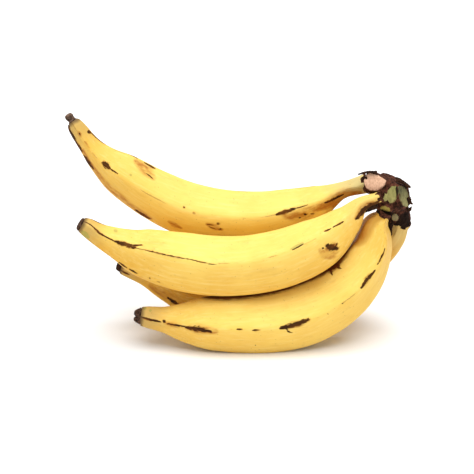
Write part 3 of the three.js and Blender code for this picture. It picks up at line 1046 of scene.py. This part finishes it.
freckle_cells = put(tree, "ShaderNodeTexVoronoi", {"Vector": grown, "Scale": 0.34})
cell = put(tree, "ShaderNodeSeparateColor", {0: freckle_cells.outputs["Color"]}).outputs[0]
few = reckon(tree, "GREATER_THAN", cell, BARE_SHARE)
spot = stretch(tree, freckle_cells.outputs["Distance"], 0.16, 0.08)
freckles = times(tree, times(tree, spot, few), 0.55)
colour = blend_colour(tree, freckles, colour, FRECKLE_COLOUR)

broken = stretch(tree, cloud(tree, streak_place, 0.16, 3.0), 0.5, 0.62)
ridge_mask = torn_mask(tree, grown, stored(tree, "ridge_line"), 0.5, 0.9, 0.82)
ridge_share = times(tree, times(tree, ridge_mask, broken), 0.6)
colour = blend_colour(tree, ridge_share, colour, RIDGE_COLOUR)
print("peel nodes", len(tree.nodes))

# %% [markdown]
# The marks stored on the mesh come next, the faint ones first: green spots, brown stains that
# also paint shade on the shaded sides of the necks, rusty bruises. A dark streak has a soft brown
# halo under a torn, nearly black core, and where two fruits lie close, a dark brown painted contact
# shadow covers all of it.

# %% Peel: marks
# The stain colour also serves as painted shade on the shaded sides of the necks.
GREEN_COLOUR, STAIN_AND_SHADE_COLOUR = (0.30, 0.30, 0.06), (0.46, 0.20, 0.022)
RUST_COLOUR = (0.40, 0.125, 0.012)
# The dark brown of the line between touching fruits is a painted contact shadow.
HALO_COLOUR, CONTACT_SHADOW_COLOUR = (0.33, 0.12, 0.015), (0.12, 0.022, 0.003)
DEEPEST, DEEP = (0.022, 0.006, 0.001), (0.11, 0.034, 0.004)

green_mask = torn_mask(tree, grown, stored(tree, GREEN), 0.35, 0.5, 0.35)
colour = blend_colour(tree, times(tree, green_mask, 0.6), colour, GREEN_COLOUR)
# brown stain, partly painted shade on the shaded sides of the necks
stain_and_shade_share = times(tree, stretch(tree, stored(tree, STAIN_AND_SHADE), 0.2, 0.6), 0.72)
colour = blend_colour(tree, stain_and_shade_share, colour, STAIN_AND_SHADE_COLOUR)
rust_grain = stretch(tree, cloud(tree, streak_place, 0.28, 4.0, 0.65), 0.36, 0.66)
rust_share = plus(tree, times(tree, rust_grain, 0.62), 0.26)
rust_share = times(tree, rust_share, stretch(tree, stored(tree, RUST), 0.05, 0.75))
colour = blend_colour(tree, rust_share, colour, RUST_COLOUR)

dark_mark = stored(tree, DARK)
halo = times(tree, reckon(tree, "SUBTRACT", rust_grain, 0.5), 0.5)
halo = stretch(tree, plus(tree, dark_mark, halo), 0.12, 0.75)
colour = blend_colour(tree, times(tree, halo, 0.75), colour, HALO_COLOUR)
dark_mask = torn_mask(tree, streak_place, dark_mark, 1.3, 0.9, 0.52)
deep = blend_colour(tree, rust_grain, DEEPEST, DEEP)
colour = blend_colour(tree, times(tree, dark_mask, 0.97), colour, deep)
# painted contact shadow: darkens the skin where another fruit lies close
painted_contact_shadow = plus(tree, stored(tree, "painted_contact_shadow"), times(tree, rust_grain, 0.12))
painted_contact_shadow = times(tree, stretch(tree, painted_contact_shadow, 0.2, 0.66), 0.95)
colour = blend_colour(tree, painted_contact_shadow, colour, CONTACT_SHADOW_COLOUR)
colour = blend_colour(tree, rim_share, colour, RIM_COLOUR)
tree.links.new(colour, shader.inputs["Base Color"])
print("peel nodes", len(tree.nodes))

# %% [markdown]
# The skin has a soft wax gloss that the dark marks lack. Fibres and patches stand up a hair's
# breadth and the marks are sunk a little: too fine for geometry, so they are a bump.

# %% Peel: gloss and grain
WAXY, DULL = (0.42, 0.42, 0.42), (0.75, 0.75, 0.75)


def raise_grain(tree, shader, height, strength, distance):
    """Adds a bump, for relief that is too fine for geometry."""
    feed = {"Height": height, "Strength": strength, "Distance": distance}
    bump = put(tree, "ShaderNodeBump", feed)
    tree.links.new(bump.outputs["Normal"], shader.inputs["Normal"])


tree.links.new(blend_colour(tree, dark_mask, WAXY, DULL), shader.inputs["Roughness"])
height = plus(tree, times(tree, fibres, 0.5), times(tree, patch, 0.8))
height = reckon(tree, "SUBTRACT", height, times(tree, dark_mask, 0.5))
raise_grain(tree, shader, height, 0.35, 0.0006)
shader.inputs["Specular IOR Level"].default_value = 0.1
print("peel nodes", len(tree.nodes))

# %% [markdown]
# The crown shows three finishes side by side: brown-purple lumpy tissue, fresh-cut faces in
# pale pink and dull green, and near-black rims where the skin was cut through. The masks that
# were stored with the cuts choose between them. Each cut face has a light and a shaded colour,
# with the heights, in millimetres, where it is wholly shaded and wholly light.

# %% Crown tissue
FLESH_LOOKS = [
    ("green_left", (0.33, 0.29, 0.10), (0.11, 0.12, 0.035), 136.0, 124.0),
    ("green_right", (0.29, 0.26, 0.11), (0.035, 0.035, 0.018), 130.0, 116.0),
    ("stub", (0.40, 0.33, 0.17), (0.24, 0.2, 0.1), 101.0, 104.0),
    ("pink", (0.70, 0.43, 0.28), (0.24, 0.11, 0.06), 126.5, 135.0),
]
OLIVE_COLOUR, SOOT_COLOUR = (0.32, 0.24, 0.05), (0.009, 0.005, 0.003)

tissue, tree, shader = new_finish("crown_tissue")
grown = stored(tree, "grown", "Vector")
woody = use_group(tree, dry_tissue, {
    "Place": grown, "Dark": (0.010, 0.003, 0.001, 1), "Light": (0.12, 0.04, 0.022, 1), "Scale": 0.3})
colour = woody.outputs["Color"]
fine = cloud(tree, squeeze(tree, grown, (1.0, 1.0, 0.35)), 0.7, 4.0)
height = put(tree, "ShaderNodeSeparateXYZ", {0: grown}).outputs["Z"]
for name, light, shade, dark_at, light_at in FLESH_LOOKS:
    paleness = times(tree, stretch(tree, height, dark_at, light_at), 0.65)
    paleness = plus(tree, paleness, times(tree, stretch(tree, fine, 0.3, 0.6), 0.35))
    flesh = blend_colour(tree, paleness, shade, light)
    mask = torn_mask(tree, grown, stored(tree, "flesh_" + name), 0.3, 0.45, 0.5)
    colour = blend_colour(tree, mask, colour, flesh)
olive = torn_mask(tree, grown, stored(tree, "olive"), 0.4, 0.5, 0.45)
colour = blend_colour(tree, times(tree, olive, 0.8), colour, OLIVE_COLOUR)
soot = torn_mask(tree, grown, stored(tree, "soot"), 0.6, 0.5, 0.45)
colour = blend_colour(tree, times(tree, soot, 0.92), colour, SOOT_COLOUR)
tree.links.new(colour, shader.inputs["Base Color"])
raise_grain(tree, shader, woody.outputs["Height"], 0.6, 0.0012)
shader.inputs["Roughness"].default_value = 0.7
shader.inputs["Specular IOR Level"].default_value = 0.05
print("crown nodes", len(tree.nodes))

# %% [markdown]
# Flower ends and torn strips are the same dry stuff: grey-brown on the top fruit's end, darker on
# the middle and front ones, nearly black on the strips and on the back fruit's end. One function
# makes all three finishes.

# %% Dry finishes


def dry_finish(name, light):
    """A wrinkled dry surface with near-black hollows and a lighter colour on top."""
    made, tree, shader = new_finish(name)
    skin = use_group(tree, dry_tissue, {
        "Place": stored(tree, "grown", "Vector"), "Dark": (0.012, 0.006, 0.004, 1),
        "Light": (*light, 1), "Scale": 0.5})
    tree.links.new(skin.outputs["Color"], shader.inputs["Base Color"])
    raise_grain(tree, shader, skin.outputs["Height"], 0.6, 0.0008)
    shader.inputs["Roughness"].default_value = 0.75
    shader.inputs["Specular IOR Level"].default_value = 0.05
    return made


dried = dry_finish("dried_end", (0.20, 0.125, 0.085))
dark_dried = dry_finish("dark_dried_end", (0.13, 0.068, 0.042))
blackened = dry_finish("blackened_skin", (0.05, 0.02, 0.009))
FLOWER_END_FINISH = {"top": dried, "middle": dark_dried, "front": dark_dried, "back": blackened}
print("finishes", dried.name, dark_dried.name, blackened.name)

# %% [markdown]
# Last, each piece gets its finish and rides on the one body, and the CAD parts that the fruits
# and the crown stand for are hidden. The hand has no moving parts, so that body is the root.

# %% Hand over
for name, body in fruit_pieces.items():
    body.data.materials.clear()
    body.data.materials.append(peel)
    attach(body, "root")
    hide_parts("plantain_" + name)
dry_pieces = [(flower_ends[name], finish) for name, finish in FLOWER_END_FINISH.items()]
for body, finish in dry_pieces + [(strip, blackened) for strip in strips]:
    body.data.materials.clear()
    body.data.materials.append(finish)
    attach(body, "root")
crown.data.materials.clear()
crown.data.materials.append(tissue)
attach(crown, "root")
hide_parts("crown")
